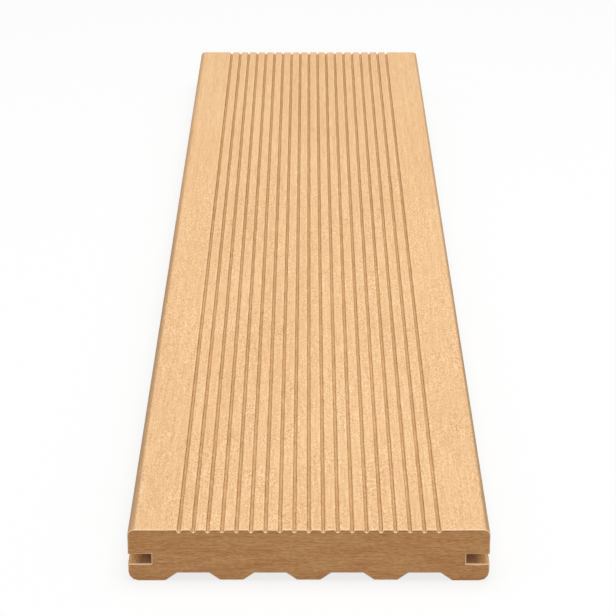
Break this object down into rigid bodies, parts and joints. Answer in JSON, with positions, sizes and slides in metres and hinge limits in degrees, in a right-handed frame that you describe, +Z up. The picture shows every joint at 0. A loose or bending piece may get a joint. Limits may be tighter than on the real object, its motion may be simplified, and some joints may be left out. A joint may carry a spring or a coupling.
{
  "type": "grooved composite decking board",
  "caption": "Solid composite decking board with a ribbed anti-slip face, plain side bands, a clip slot along each long side and shallow drainage channels underneath.",
  "frame": {"origin": "middle of the floor under the board, on the plane that the two outer feet stand on", "axes": "+Y along the board, +X across it, +Z up through the grooved face"},
  "size_m": [0.145, 0.69, 0.023],
  "materials": {
    "composite": "solid wood-plastic composite, warm sand colour, brushed matt skin with a fine grain; the sawn ends are a deeper brown"
  },
  "bodies": {
    "root": {"deck_board": "composite"}
  },
  "joints": []
}
